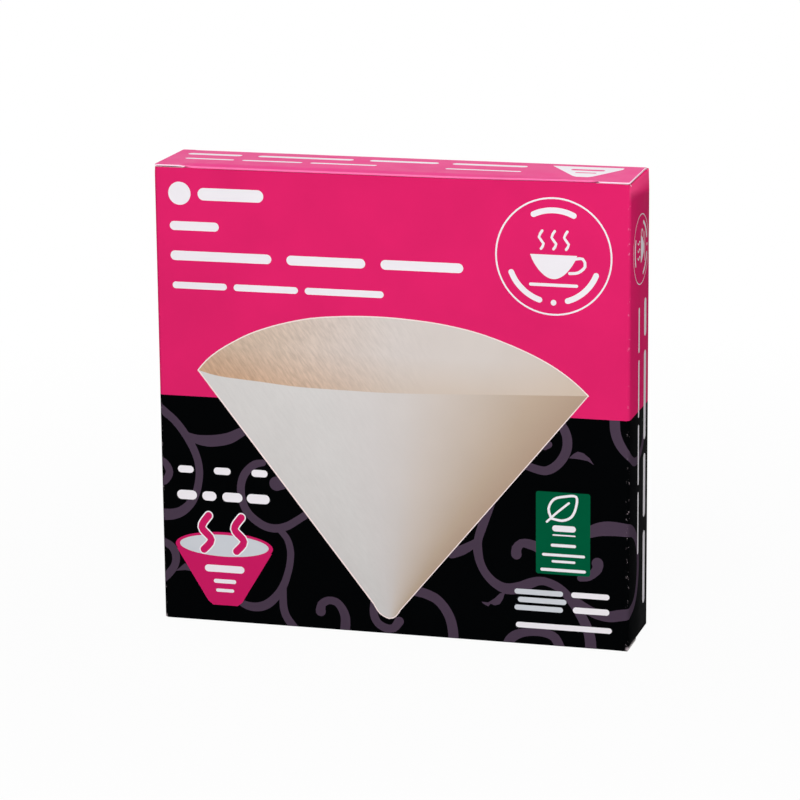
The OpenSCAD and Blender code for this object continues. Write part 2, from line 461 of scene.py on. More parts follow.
SCROLLS = [
    # left end of the front, running on over the left panel
    [(-7.5, 80.2, 2.8), (-3.2, 79.3, 3.0), (0.1, 77.6, 3.0), (2.6, 75.6, 3.0), (5.3, 73.4, 2.9),
     (8.3, 69.9, 2.9), (11.3, 65.2, 2.9), (13.4, 60.5, 2.8), (14.3, 55.7, 2.8), (13.9, 50.8, 2.8),
     (12.4, 45.8, 2.9), (9.8, 42.0, 3.3), (6.0, 39.3, 3.7), (1.0, 38.4, 4.2), (-4.5, 39.2, 4.0),
     (-10.0, 42.6, 3.6), (-13.4, 48.6, 3.3), (-13.6, 55.6, 3.0)],
    [(-4.4, 52.0, 3.6), (-3.2, 56.9, 2.8), (0.8, 57.9, 2.8), (3.1, 54.3, 2.8), (1.2, 50.8, 2.8),
     (-1.4, 50.3, 2.6)],
    [(10.4, 67.9, 2.4), (13.5, 66.8, 3.3), (17.2, 66.4, 4.1), (20.9, 66.7, 4.2), (25.3, 67.7, 4.1),
     (29.0, 69.6, 3.6), (31.8, 71.3, 3.0)],
    # curl beside the words, half under the picture
    [(38.0, 59.6, 2.4), (34.9, 58.8, 2.8), (31.5, 55.6, 2.9), (29.9, 51.8, 2.9), (29.7, 48.2, 2.9),
     (30.3, 44.6, 2.9), (32.1, 41.0, 3.0), (35.2, 38.2, 3.0), (38.8, 36.3, 3.0), (42.8, 35.9, 3.0),
     (46.8, 37.1, 2.9), (50.6, 39.5, 2.7), (54.9, 42.5, 2.7)],
    [(42.9, 52.3, 5.2), (46.5, 53.0, 3.8), (49.5, 56.0, 2.8)],
    # stem round the small drawing
    [(44.0, 35.4, 2.4), (46.6, 32.2, 2.5), (47.7, 28.0, 2.6), (47.5, 23.8, 2.6), (46.5, 19.4, 2.6),
     (44.9, 15.0, 2.8), (42.4, 11.1, 3.0), (38.9, 7.8, 3.3), (35.2, 6.4, 3.3), (31.4, 6.6, 3.0),
     (28.4, 8.0, 2.5), (24.7, 10.5, 2.4)],
    [(45.2, 15.6, 1.8), (44.7, 10.7, 2.7), (44.9, 6.4, 2.9), (46.1, 3.1, 3.0), (48.8, -0.5, 3.1)],
    # low curl at the left edge
    [(-8.5, 23.6, 3.0), (-6.4, 27.0, 3.0), (-2.6, 28.6, 3.0), (0.1, 28.2, 3.0), (3.1, 26.8, 3.0),
     (4.6, 24.2, 3.0), (4.7, 21.4, 2.9), (3.5, 18.5, 2.8), (0.4, 15.2, 3.1), (-4.0, 12.8, 3.2),
     (-10.0, 12.6, 3.2), (-16.0, 15.6, 3.2)],
    # hooks along the foot
    [(58.6, 6.5, 3.7), (59.0, 9.1, 3.1), (61.5, 10.7, 2.8), (64.2, 10.4, 2.9), (66.3, 8.4, 3.1),
     (67.7, 4.7, 3.5), (67.4, -0.8, 3.6)],
    [(78.6, 11.9, 3.0), (78.2, 7.0, 3.0), (79.7, 3.7, 3.0), (82.8, 2.0, 3.1), (85.5, 2.3, 3.0),
     (87.5, 4.9, 3.4)],
    [(92.8, 16.5, 3.6), (95.8, 16.1, 3.6), (98.8, 15.2, 3.6), (101.5, 13.8, 3.5), (104.2, 10.9, 3.5),
     (106.2, 7.1, 3.6), (107.1, 2.9, 3.7), (107.3, -0.9, 3.7)],
    # curl right of the picture
    [(145.4, 80.3, 3.0), (147.2, 78.0, 3.3), (148.2, 74.6, 3.4), (148.0, 71.0, 3.4), (146.3, 67.4, 3.3),
     (143.7, 64.6, 3.2), (140.7, 63.1, 3.1), (137.8, 63.3, 3.0), (133.7, 64.5, 2.9)],
    [(141.6, 72.5, 2.6), (140.2, 71.6, 2.4)],
    # stem that runs over the right edge onto the side panel
    [(164.8, 85.2, 3.7), (165.1, 78.5, 3.6), (166.6, 74.2, 3.4), (169.2, 70.8, 3.1), (173.0, 68.2, 3.0),
     (178.5, 65.9, 3.0), (184.5, 65.6, 3.0), (190.0, 67.8, 3.0), (194.0, 72.4, 3.0), (196.0, 78.6, 3.2),
     (196.4, 86.0, 3.4)],
    # spiral round the green panel
    [(130.1, 32.4, 3.7), (130.2, 34.5, 3.5), (131.9, 36.5, 3.0), (134.5, 36.4, 3.5), (137.8, 35.3, 3.6),
     (141.0, 32.0, 3.6)],
    [(120.6, 50.0, 3.6), (117.9, 41.8, 3.3), (116.4, 36.9, 3.0), (116.2, 33.2, 3.3), (117.1, 28.5, 3.0),
     (119.3, 24.4, 3.0), (122.6, 21.3, 3.3), (126.5, 19.7, 3.9), (131.2, 20.4, 4.1), (135.4, 22.4, 3.6),
     (139.0, 23.4, 3.0), (143.1, 22.5, 3.0), (147.0, 20.1, 3.1), (150.2, 16.4, 3.3), (152.9, 12.4, 3.5),
     (155.3, 7.7, 3.7), (156.5, 3.6, 3.9), (156.8, -1.6, 4.1)],
    [(116.4, 36.3, 2.4), (114.0, 34.6, 3.0), (110.4, 32.5, 3.6), (106.8, 31.1, 3.6)],
    # loop that wraps onto the side panel and back
    [(155.0, 41.6, 3.8), (159.0, 43.2, 4.7), (162.5, 43.8, 5.2), (166.6, 43.8, 4.9), (171.0, 43.3, 4.5),
     (176.0, 41.6, 4.0), (181.0, 38.4, 3.6), (184.4, 33.6, 3.4), (185.3, 28.0, 3.3), (184.7, 22.8, 3.3),
     (182.2, 17.6, 3.3), (178.2, 14.7, 3.5), (173.5, 13.7, 3.8), (168.0, 13.1, 4.1), (163.2, 12.2, 3.9),
     (158.5, 12.9, 3.6), (154.4, 14.9, 3.4), (150.8, 17.3, 3.1)],
    [(159.0, 31.1, 4.1), (158.9, 29.0, 3.6), (156.0, 26.0, 2.6), (153.0, 25.4, 2.4)],
    # arch at the foot, cut off by the base
    [(126.4, -2.3, 3.3), (127.3, 0.5, 3.5), (129.4, 2.8, 3.5), (132.7, 4.2, 3.1), (136.6, 4.7, 2.9),
     (140.8, 4.5, 3.1), (144.0, 3.0, 3.4), (146.1, -1.2, 3.5)],
]
LEAVES = [
    [(4.5, 17.7), (6.1, 19.0), (8.0, 20.7), (9.9, 20.0), (12.7, 18.6), (13.9, 16.6), (11.1, 18.0),
     (8.0, 18.2)],
    [(148.8, 68.1), (150.4, 69.7), (151.9, 70.6), (153.8, 70.2), (156.0, 68.6), (157.6, 66.2),
     (155.4, 67.5), (152.5, 67.9)],
    [(117.5, 14.3), (119.9, 14.2), (122.3, 15.9), (124.1, 17.8), (126.0, 18.3), (125.3, 15.9),
     (124.1, 13.9), (122.3, 13.3), (120.8, 13.8), (119.9, 12.8), (118.4, 13.5)],
]
# Extra curls for the rear panel, where the picture leaves room
REAR_SCROLLS = [
    [(60.0, 72.0, 3.0), (64.0, 66.0, 3.2), (71.0, 62.5, 3.3), (78.0, 64.5, 3.3), (81.0, 70.5, 3.1),
     (78.5, 75.6, 3.0), (73.5, 75.5, 3.6)],
    [(71.0, 62.0, 3.0), (69.0, 52.0, 3.2), (74.0, 43.0, 3.4), (84.0, 39.0, 3.6), (94.0, 42.0, 3.4),
     (98.0, 50.0, 3.2), (95.0, 57.5, 3.0), (88.5, 57.0, 3.8)],
    [(84.0, 39.0, 3.0), (84.5, 29.0, 3.2), (91.0, 21.5, 3.4), (100.5, 21.5, 3.4), (105.0, 28.0, 3.2)],
    [(54.9, 42.5, 2.7), (60.5, 48.0, 2.9), (62.0, 55.0, 3.0), (58.5, 60.5, 3.4)],
]

CONE_TOP = [(14.7, 92.0), (17.8, 95.6), (22.3, 99.3), (29.0, 103.4), (35.7, 106.7), (45.3, 110.0),
            (56.4, 112.6), (67.2, 113.8), (78.0, 114.3), (88.9, 114.1), (103.2, 112.9), (117.4, 110.2),
            (131.5, 105.5), (142.1, 100.6), (150.0, 95.4), (155.6, 90.4)]
CONE_RIM = [(155.6, 90.4), (124.4, 89.1), (88.6, 87.6), (68.7, 87.6), (51.2, 87.9), (37.4, 89.0),
            (22.6, 90.2), (14.7, 92.0)]
CONE_FOOT = [(14.7, 92.0), (78.0, 11.0), (80.4, 7.4), (83.8, 5.5), (86.3, 6.6), (87.8, 8.9),
             (155.6, 90.4)]

# Words on the front, in place of each a bar: left end, right end, height of its middle, thickness.
# The first TITLE_WORDS of them stand above the picture.
FRONT_WORDS = [
    (16.0, 40.0, 155.0, 4.4), (5.5, 23.5, 143.5, 3.2),
    (5.5, 42.5, 132.9, 3.4), (48.0, 76.5, 132.9, 3.4), (82.0, 111.5, 132.9, 3.4),
    (6.0, 26.0, 122.3, 2.4), (28.5, 52.0, 122.3, 2.4), (54.5, 83.0, 122.3, 2.4),
    (6.3, 12.2, 55.6, 2.6), (19.7, 26.0, 55.6, 2.6), (33.7, 39.7, 55.6, 2.6),
    (5.8, 13.2, 46.2, 3.4), (15.2, 20.5, 46.2, 3.4), (22.7, 30.2, 46.2, 3.4), (31.8, 40.3, 46.2, 3.4),
    (149.7, 163.3, 19.1, 2.0), (150.3, 163.3, 13.6, 2.2), (129.9, 164.2, 7.0, 2.0),
]
TITLE_WORDS = 8
GREEN_WORDS = [
    (142.9, 151.3, 42.7, 2.2), (143.0, 151.2, 40.3, 0.5), (142.4, 151.4, 36.6, 1.1),
    (139.3, 154.6, 33.1, 1.0), (142.7, 151.2, 30.8, 0.9), (138.7, 154.9, 27.7, 1.1),
]
# Words on the side panel run up it: place across the panel, thickness, and top and foot heights
SIDE_WORDS = [
    (25.0, 3.4, 120.5, 107.0), (25.0, 3.4, 102.0, 70.0),
    (25.0, 3.4, 65.0, 42.0), (25.0, 3.4, 37.0, 10.5),
    (15.0, 1.8, 119.0, 103.0), (15.0, 1.8, 100.5, 80.0),
    (15.0, 1.8, 77.5, 56.0), (15.0, 1.8, 53.5, 31.0),
]

# Words of the small print on the rear panel, line by line, with both ends of each
SMALL_PRINT = [
    [(6.0, 21.0), (23.0, 47.0), (49.0, 58.0), (60.0, 82.0), (84.0, 104.0)],
    [(6.0, 30.0), (32.0, 44.0), (46.0, 71.0), (73.0, 100.0)],
    [(6.0, 16.0), (18.0, 39.0), (41.0, 64.0), (66.0, 74.0), (76.0, 103.0)],
    [(6.0, 27.0), (29.0, 52.0), (54.0, 80.0), (82.0, 96.0)],
    [(6.0, 34.0), (36.0, 49.0), (51.0, 62.0)],
]
SMALL_PRINT_TOP = 107.0
SMALL_PRINT_PITCH = 4.6

# Centres of the emblem and of the maker's disc on a broad face
BADGE = (143.3, 138.5)
MARK = (9.3, 155.0)
MARK_R = 4.1


def carton_print():
    """(material, shape) pairs in the order of printing, in millimetres along and up the sheet"""
    low_u, high_u = -DEEP - 2, 2 * (WIDE + DEEP) + 2
    rear = WIDE + DEEP
    out = [("black", rect(low_u, -40, high_u, FIELD_Z))]

    def add(name, shapes):
        out.extend((name, s) for s in shapes)

    for line in SCROLLS:
        add("scroll", stroke(line))
    add("scroll", LEAVES)
    # on the rear the curls stay inside the panel
    for line in SCROLLS[:1] + SCROLLS[2:-1] + REAR_SCROLLS:
        if max(p[0] for p in line) < 158:
            add("scroll", stroke([(rear + x, z, w) for x, z, w in line if x > 2]))
    add("scroll", [[(rear + x, z) for x, z in leaf] for leaf in LEAVES[1:]])
    out.append(("pink", rect(low_u, FIELD_Z, high_u, TALL + 40)))
    # the dust flaps are printed only round their creases
    for left in (-DEEP - 1, WIDE):
        for z0, z1 in ((SIDE_TOP + 3.2, TALL + 40), (-40, TALL - SIDE_TOP - 3.2)):
            out.append(("inner", rect(left, z0, left + DEEP + 1, z1)))
    # picture of an opened filter
    top = spline(CONE_TOP, 2.5)
    rim = spline(CONE_RIM, 2.5)
    out.append(("cone_inside", [*reversed(top), *reversed(rim[1:-1])]))
    out.append(("cone_front", [*CONE_FOOT, *rim[1:-1]]))
    add("cone_line", stroke(CONE_TOP, 0.42, step=2.5))
    add("cone_line", stroke([(14.9, 91.8), (46.4, 51.4), (78.0, 11.0)], 0.5, step=12))
    add("cone_line", stroke([(78.0, 11.0), (80.4, 7.4), (83.8, 5.7), (86.3, 6.7), (87.8, 8.9)], 0.4))
    add("cone_line", stroke([(87.8, 8.9), (121.7, 49.6), (155.4, 90.3)], 0.35, step=12))
    # stand-ins for the words, the badge and the small drawings
    out.append(("white", disc(*MARK, MARK_R)))
    for x0, x1, z, h in FRONT_WORDS:
        out.append(("white", bar(x0, x1, z, h)))
    add("white", moved(cup_badge(), lambda x, z: (BADGE[0] + x, BADGE[1] + z)))
    for i, shift in enumerate((0.0, 1.2, 0.0)):
        out.append(("pale", bar(129.4 + shift, 146.8 + shift, 13.3 + 2.9 * i, 1.9)))
    tumbler = [(5.2, 26.4), (16.6, 7.6), (18.4, 6.1), (27.6, 6.1), (29.4, 7.6), (40.8, 26.4)]
    out.append(("icon_pink", disc(23.0, 28.0, 18.2, 5.2, 60)))
    out.append(("icon_pink", tumbler))
    out.append(("pale", disc(23.0, 28.2, 16.6, 4.0, 60)))
    for x in (16.4, 28.6):
        steam = [(x - 1.0, 26.4), (x + 1.8, 30.2), (x - 1.6, 34.6), (x + 1.0, 39.0)]
        add("white", stroke(steam, 3.5))
        add("icon_pink", stroke(steam, 2.6))
    for x0, x1, z, h in ((15.6, 30.4, 19.6, 2.6), (18.8, 27.2, 15.0, 1.5), (19.6, 26.4, 11.6, 1.2)):
        out.append(("white", bar(x0, x1, z, h)))
    out.append(("green", rect(137.1, 26.1, 156.4, 55.7, 0.9)))
    for x0, x1, z, h in GREEN_WORDS:
        out.append(("white", bar(x0, x1, z, h)))
    leaf = [(142.6, 46.2), (141.6, 49.6), (143.4, 53.0), (147.0, 54.2), (151.4, 54.4), (151.2, 50.2),
            (149.6, 47.0), (146.4, 45.6), (142.6, 46.2)]
    add("white", stroke(leaf, 0.9))
    add("white", stroke([(141.0, 44.9), (144.6, 48.4), (148.8, 52.0)], 0.8))
    add("white", moved(cup_badge(0.6), lambda x, z: (WIDE + 17.4 - z, 139.0 + x)))
    for panel in (WIDE, -DEEP):
        for across, thick, high, low in SIDE_WORDS:
            left = panel + across - thick / 2
            out.append(("white", rect(left, low, left + thick, high, thick * 0.499)))
    # the rear panel has the words and the badge again, and a block of small print
    out.append(("white", disc(rear + MARK[0], MARK[1], MARK_R)))
    for x0, x1, z, h in FRONT_WORDS[:TITLE_WORDS]:
        out.append(("white", bar(rear + x0, rear + x1, z, h)))
    add("white", moved(cup_badge(), lambda x, z: (rear + BADGE[0] + x, BADGE[1] + z)))
    for number, line in enumerate(SMALL_PRINT):
        for x0, x1 in line:
            z = SMALL_PRINT_TOP - SMALL_PRINT_PITCH * number
            out.append(("white", bar(rear + x0, rear + x1, z, 1.6)))
    return out


# Folding

# Each wall: where it starts along the sheet, its plan corner, and its direction in plan
SEAM_U = WIDE + DEEP + WIDE - BOARD - GLUE
WALLS = [
    (-DEEP, Vector((-HALF_W, HALF_D)), Vector((0, -1))),
    (0.0, Vector((-HALF_W, -HALF_D)), Vector((1, 0))),
    (WIDE, Vector((HALF_W, -HALF_D)), Vector((0, 1))),
    (WIDE + DEEP, Vector((HALF_W, HALF_D)), Vector((-1, 0))),
    (SEAM_U, Vector((-HALF_W + BOARD + GLUE, HALF_D)), Vector((0, -1))),
]


def inward(direction):
    return Vector((-direction.y, direction.x))


def on_plan(u, depth):
    """Plan position at u along the sheet, depth below its printed face, and the inward direction"""
    number = max(i for i, wall in enumerate(WALLS) if i == 0 or wall[0] <= u)
    start, corner, along = WALLS[number]
    for k in (number, number + 1):
        if 0 < k < len(WALLS) and abs(u - WALLS[k][0]) < CORNER_R:
            before, bend_at = WALLS[k - 1][2], WALLS[k][1]
            turn = ((u - WALLS[k][0]) / CORNER_R + 1) * math.pi / 4
            centre = bend_at - before * CORNER_R + inward(before) * CORNER_R
            out = before * math.sin(turn) - inward(before) * math.cos(turn)
            return centre + out * (CORNER_R - depth), -out
    return corner + along * (u - start) + inward(along) * depth, inward(along)


def settled(x, y, z):
    """How the handled carton differs from a perfect one: its broad faces are drawn in a little"""
    belly = math.cos(math.pi * min(abs(x) / WIDE, 0.5))
    y *= 1 - DRAWN_IN * belly * (0.55 + 0.45 * math.cos(math.pi * (z / TALL - DRAWN_IN_AT)))
    return Vector((x, y, z))


def bend_start(y):
    """How high a side panel's bend towards its dust flap begins"""
    return BEND_FRONT + (BEND_REAR - BEND_FRONT) * (y / DEEP + 0.5)


def side_bend(y, z):
    """From 0 to 1, how far a side panel is bent towards its dust flap"""
    start = bend_start(y)
    return smooth((z - start) / (TALL - start))


def side_inset(u):
    """How far a place along the sheet lies in from the corners of a side panel, below 0 outside it"""
    return max(min(u - WIDE, WIDE + DEEP - u), min(u + DEEP, -u))


def bent_light(u, v, normal):
    """Shades a side panel as bulging a little, and as rolling over towards its upper dust flap"""
    near = smooth(side_inset(u) / CORNER_R)
    if not near:
        return normal
    plan, _ = on_plan(u, 0.0)
    start = bend_start(plan.y)
    crease = CREASE_R * math.pi / 2
    flat = smooth((SIDE_TOP + crease - v) / crease)
    up = ROLL_LEAN * smooth((v - start + ROLL_BELOW) / ROLL_RUN)
    # below the bend the panel leans the other way a little
    up -= 0.12 * smooth((v - start + 14) / 12) * smooth((start - v) / 2)
    back = BULGE_LEAN * plan.y / HALF_D * smooth((v - TALL + SIDE_TOP) / 2)
    return (normal + Vector((0, back, up)) * near * flat).normalized()


def carton_place(u, v, depth):
    """Where a point of the carton's sheet goes"""
    lower = v < TALL / 2
    if lower:
        v = TALL - v
    plan, to_inside = on_plan(u, depth if v <= SIDE_TOP else 0.0)
    flap = WIDE + CORNER_R < u < WIDE + DEEP - CORNER_R or -DEEP + CORNER_R < u < -CORNER_R
    flap = flap or v > SIDE_TOP + CREASE_R * math.pi / 2 - 0.02
    z = v
    if flap and v > SIDE_TOP:
        turn = min((v - SIDE_TOP) / CREASE_R, math.pi / 2)
        far = max(v - SIDE_TOP - CREASE_R * math.pi / 2, 0.0)
        reach = CREASE_R - math.cos(turn) * (CREASE_R - depth) + far
        plan = plan + to_inside * reach
        z = SIDE_TOP + math.sin(turn) * (CREASE_R - depth) - 0.03 * far
    elif v > SIDE_TOP:
        plan = on_plan(u, depth)[0]
    x, y = plan
    if not lower:
        x -= math.copysign(BEND_IN * side_bend(y, v) * smooth(side_inset(u) / CORNER_R + 1), x)
    return settled(x, y, TALL - z if lower else z)


def lid_drop(x, y):
    """The fold between the slits lies lower than the ears, and the rear crease dips a little"""
    if x > 0:
        middle = smooth((DROP_RIGHT - x) / DROP_RIGHT_RUN)
    else:
        middle = smooth((DROP_LEFT + x) / DROP_LEFT_RUN)
    front = smooth((-HALF_D + DROP_BACK - y) / DROP_BACK_RUN)
    rear = smooth(x + REAR_DIP_LEFT) * smooth((y - LID_AXIS_Y + REAR_DIP_BACK) / REAR_DIP_RUN)
    return NOSE_DROP * middle * front + REAR_DIP * rear


def lid_place(x, s, depth):
    """Where a point of the upper lid's sheet goes; s runs forward from the hinge"""
    r = BOARD / 2
    length = LID_AXIS_Y - TUCK_AXIS_Y
    if s < 0:
        turn = -s / r
        y = LID_AXIS_Y + r * math.sin(turn)
        z = TALL - r + (r - depth) * math.cos(turn)
    elif s > length and abs(x) < SLIT_END + 0.01:
        turn = (s - length) / BOARD
        ring_r = BOARD - depth * 0.94
        y = TUCK_AXIS_Y - ring_r * math.sin(turn)
        z = TALL - BOARD + ring_r * math.cos(turn)
    else:
        y = LID_AXIS_Y - s
        z = TALL - depth
    z -= lid_drop(x, y)
    if x > 0:
        x -= LID_ASKEW * x / LID_HALF_W * (1 - s / length)
    return settled(x, y, z)


def tuck_place(x, s, depth):
    """Where a point of the upper tuck flap's sheet goes; s runs down from its crease, where the
    pressed board is thinner"""
    y = -BOARD + depth * (0.5 + 0.5 * smooth(s))
    z = -s
    c, k = math.cos(TUCK_LEAN), math.sin(TUCK_LEAN)
    y, z = y * c - z * k, y * k + z * c
    y += TUCK_AXIS_Y
    z += TALL - BOARD
    z -= NOSE_DROP * smooth((z - TALL + 6.0) / 5.0)
    return settled(x, y, z)


def turned_over(place, taper=0.0):
    """The same closure at the lower end, hinged on the front, narrower by taper behind its hinge"""
    def lower(x, s, depth):
        p = place(-x * (1 - taper * smooth((s - 14.0) / 6.0)), s, depth)
        p.x = -p.x
        return Vector((p.x, -p.y, TALL - p.z))
    return lower


def inside(shape, xs, zs):
    """Which of the points lie inside a closed shape"""
    corners = np.array(shape)
    low, high = corners.min(0), corners.max(0)
    near = np.flatnonzero((xs > low[0]) & (xs < high[0]) & (zs > low[1]) & (zs < high[1]))
    x, z = xs[near], zs[near]
    odd = np.zeros(len(near), bool)
    for (x0, z0), (x1, z1) in zip(corners, np.roll(corners, -1, 0)):
        if z0 != z1:
            crossed = (z0 > z) != (z1 > z)
            odd ^= crossed & (x < (x1 - x0) * (z - z0) / (z1 - z0) + x0)
    return near[odd]


def partition(outline, prints, u_lines, v_lines):
    """Cuts a sheet into triangles along its print, its creases and a grid.
    Returns points, triangles and the name of each triangle's print."""
    points, edges = [], []
    for shape in [outline] + [shape for _, shape in prints]:
        first, count = len(points), len(shape)
        edges += [(first + i, first + (i + 1) % count) for i in range(count)]
        points += [Vector(p) for p in shape]
    us = [p[0] for p in outline]
    vs = [p[1] for p in outline]
    lines = [((u, min(vs) - 1), (u, max(vs) + 1)) for u in u_lines]
    lines += [((min(us) - 1, v), (max(us) + 1, v)) for v in v_lines]
    for a, b in lines:
        edges.append((len(points), len(points) + 1))
        points += [Vector(a), Vector(b)]
    verts, _, tris, _, _, _ = delaunay_2d_cdt(points, edges, [], 0, 1e-4)
    middles = np.array([sum((verts[i] for i in tri), Vector((0, 0))) / 3 for tri in tris])
    xs, zs = middles[:, 0], middles[:, 1]
    colour = np.zeros(len(tris), int)
    for i, (_, shape) in enumerate(prints):
        colour[inside(shape, xs, zs)] = i
    kept = sorted(inside(outline, xs, zs))
    return verts, [tris[i] for i in kept], [prints[colour[i]][0] for i in kept]


def fold_sheet(name, place, outline, prints, u_lines, v_lines, print_on_rim, flip=False, cut="edge",
               shade=None, under=None):
    """Makes a piece of board from its flat layout: printed face, inner face and cut edges.
    Cut ends take the print's colour where the real sheet runs on into the next piece, and where
    pink bounce light is painted on a white cut edge; so does the inner face where under says that
    it shows in an open fold.
    Cut edges are shaded as slightly rounded."""
    flat, tris, names = partition(outline, prints, u_lines, v_lines)
    used = sorted({i for tri in tris for i in tri})
    number = {old: new for new, old in enumerate(used)}
    count = len(used)
    step = 0.02
    outer, inner, normals = [], [], []
    for i in used:
        u, v = flat[i]
        p = place(u, v, 0.0)
        outer.append(p)
        inner.append(place(u, v, BOARD))
        across = place(u + step, v, 0.0) - place(u - step, v, 0.0)
        along = place(u, v + step, 0.0) - place(u, v - step, 0.0)
        normal = across.cross(along).normalized()
        normal = -normal if flip else normal
        normals.append(shade(u, v, normal) if shade else normal)
    order = sorted(set(names)) + ["inner", cut]
    faces, slots = [], []
    border = {}
    for tri, colour in zip(tris, names):
        a, b, c = (number[i] for i in tri)
        if flip:
            a, b, c = a, c, b
        faces.append((a, b, c))
        slots.append(order.index(colour))
        faces.append((a + count, c + count, b + count))
        in_fold = under and all(under(*flat[used[i]]) for i in (a, b, c))
        slots.append(order.index(colour) if in_fold else len(order) - 2)
        for edge in ((a, b), (b, c), (c, a)):
            border[edge] = order.index(colour)
    rim_from = len(faces)
    for (a, b), colour in border.items():
        if (b, a) in border:
            continue
        faces.append((b, a, a + count, b + count))
        rim_takes_print = print_on_rim(*flat[used[a]]) and print_on_rim(*flat[used[b]])
        slots.append(colour if rim_takes_print else len(order) - 1)
    mesh = bpy.data.meshes.new(name)
    mesh.from_pydata([p * MM for p in outer + inner], [], faces)
    for key in order:
        mesh.materials.append(MATERIALS[key])
    mesh.polygons.foreach_set("material_index", slots)
    mesh.polygons.foreach_set("use_smooth", [True] * len(faces))
    mesh.update()
    loop_normals = []
    for poly in mesh.polygons:
        for i in poly.vertices:
            face = normals[i] if i < count else -normals[i - count]
            if poly.index >= rim_from:
                face = (poly.normal + face * (1.3 if i < count else 0.3)).normalized()
            loop_normals.append(face)
    mesh.normals_split_custom_set(loop_normals)
    piece = bpy.data.objects.new(name, mesh)
    bpy.context.scene.collection.objects.link(piece)
    return piece


def arc_lines(centre, reach, steps=6):
    """Grid lines across a bend"""
    return [centre - reach + 2 * reach * i / steps for i in range(steps + 1)]


def dust_leaf(top):
    """Outline of the right-hand dust flap from its front end to its rear end, as (y, v)"""
    near = -HALF_D + CORNER_R + CREASE_SHORT
    far = -near
    front = -HALF_D + BOARD + TUCK_ROOM
    rear = HALF_D - BOARD - STACK_GAP
    root = SIDE_TOP + CREASE_R * math.pi / 2
    tip = root + DUST_LEN - CREASE_R
    points = [(near, SIDE_TOP), (near, root), (front, root)]
    points += arc(front + DUST_CORNER, tip - DUST_CORNER, DUST_CORNER, 180, 90, 9)
    points += arc(rear - DUST_BACK, tip - DUST_BACK, DUST_BACK, 90, 0)
    points += [(rear, root), (far, root), (far, SIDE_TOP)]
    return points if top else [(y, TALL - v) for y, v in reversed(points)]


# Top of the front panel from right to left: place along it, and distance below the lid's top
FRONT_TOP = [(WIDE + 0.4, 0.7), (WIDE - CORNER_R, 0.68), (162.0, 0.56), (158.0, 0.54),
             (150.0, 0.6), (125.0, 0.9), (100.0, 1.2), (85.0, 1.25), (20.0, 1.2),
             (14.0, 1.0), (9.5, 0.88), (CORNER_R, 0.84), (-0.4, 0.84)]
# How far from a corner the notch beside a dust flap's crease begins
NOTCH = 1.38
# The front panel's white cut top edge takes the print's pink from here to there, below the lid's
# fold: painted pink bounce light in the fold's shade
BOUNCE_PINK_FROM = 10.0
BOUNCE_PINK_TO = WIDE - 11.0


def carton_outline():
    """Flat outline of the carton's sheet, counter-clockwise seen from its printed face"""
    ear_z = TALL - BOARD - 0.3
    bead_z = TALL - CREASE_END
    seam_end = SEAM_U + CORNER_R + SEAM_FLAP
    left_cut = -DEEP + SEAM_INSET
    low = TALL - SIDE_TOP
    right_y = WIDE + HALF_D
    left_y = -HALF_D
    points = [(left_cut, low)]
    bottom_right = dust_leaf(False)
    rear_u = WIDE + DEEP
    points += [(left_y - y, v) for y, v in bottom_right]
    points += [(-NOTCH, low), (-0.4, TALL - bead_z)]
    points += [(WIDE + 0.4, TALL - bead_z), (WIDE + NOTCH, low)]
    points += [(right_y + y, v) for y, v in reversed(bottom_right)]
    points += [(rear_u - NOTCH, low), (rear_u - 0.4, TALL - ear_z)]
    before, after = SEAM_U - CORNER_R, SEAM_U + CORNER_R
    root, end = SEAM_SHORT - 0.6, SEAM_SHORT + SEAM_FLAP / 4
    points += [(before, TALL - ear_z), (before, low), (after, low)]
    points += [(after, low + root), (seam_end, low + end)]
    points += [(seam_end, SIDE_TOP - end), (after, SIDE_TOP - root)]
    points += [(after, SIDE_TOP), (before, SIDE_TOP), (before, bead_z)]
    points += [(rear_u - 0.4, bead_z), (rear_u - NOTCH, SIDE_TOP)]
    top_right = dust_leaf(True)
    points += [(right_y + y, v) for y, v in reversed(top_right)]
    points += [(WIDE + NOTCH, SIDE_TOP)]
    points += [(u, TALL - below) for u, below in FRONT_TOP]
    points += [(-NOTCH, SIDE_TOP)]
    points += [(left_y - y, v) for y, v in top_right]
    points += [(left_cut, SIDE_TOP)]
    return points


def carton_print_on_rim(u, v):
    """The creases of both lids with the corners beside the upper one, and the front panel's cut top
    edge below the lid's fold, whose pink there is painted bounce light in the fold's shade"""
    creased = min(abs(v - CREASE_END), abs(v - TALL + CREASE_END)) < 0.02
    creased = creased or (v > SIDE_TOP - 0.1 and min(abs(u - WIDE - DEEP), abs(u + DEEP)) < 1.6)
    return creased or (BOUNCE_PINK_FROM < u < BOUNCE_PINK_TO and v > TALL - 1.4)


def make_carton():
    u_lines = []
    for wall in WALLS[1:]:
        u_lines += arc_lines(wall[0], CORNER_R)
    for left, span in ((0.0, WIDE), (WIDE + DEEP, WIDE)):
        u_lines += [left + span * i / 16 for i in range(1, 16)]
    for left in (-DEEP, WIDE):
        u_lines += [left + DEEP * i / 4 for i in range(1, 4)]
    bend_top = SIDE_TOP + CREASE_R * math.pi / 2
    v_lines = [TALL * i / 16 for i in range(2, 15)]
    lifts = [142.0, 146.0, 150.0, 153.5, 155.5, 156.5, 157.5, 158.5, 159.5, 160.5, 161.5, 162.3, 163.0]
    lifts += [SIDE_TOP + (bend_top - SIDE_TOP) * i / 5 for i in range(6)]
    for lift in lifts:
        v_lines += [lift, TALL - lift]
    carton = fold_sheet("carton_board", carton_place, carton_outline(), carton_print(),
                        u_lines, v_lines, carton_print_on_rim, shade=bent_light)
    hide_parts("carton")
    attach(carton, "carton")


def lid_print(base, crease):
    length = LID_AXIS_Y - TUCK_AXIS_Y
    out = [(base, rect(-90, -5, 90, length + 5))]
    # the strip along the fold; on the upper lid its paler pink is worn ink and painted highlight
    out.append((crease, rect(-SLIT_END, length - 0.35, SLIT_END, length + 5)))
    return out


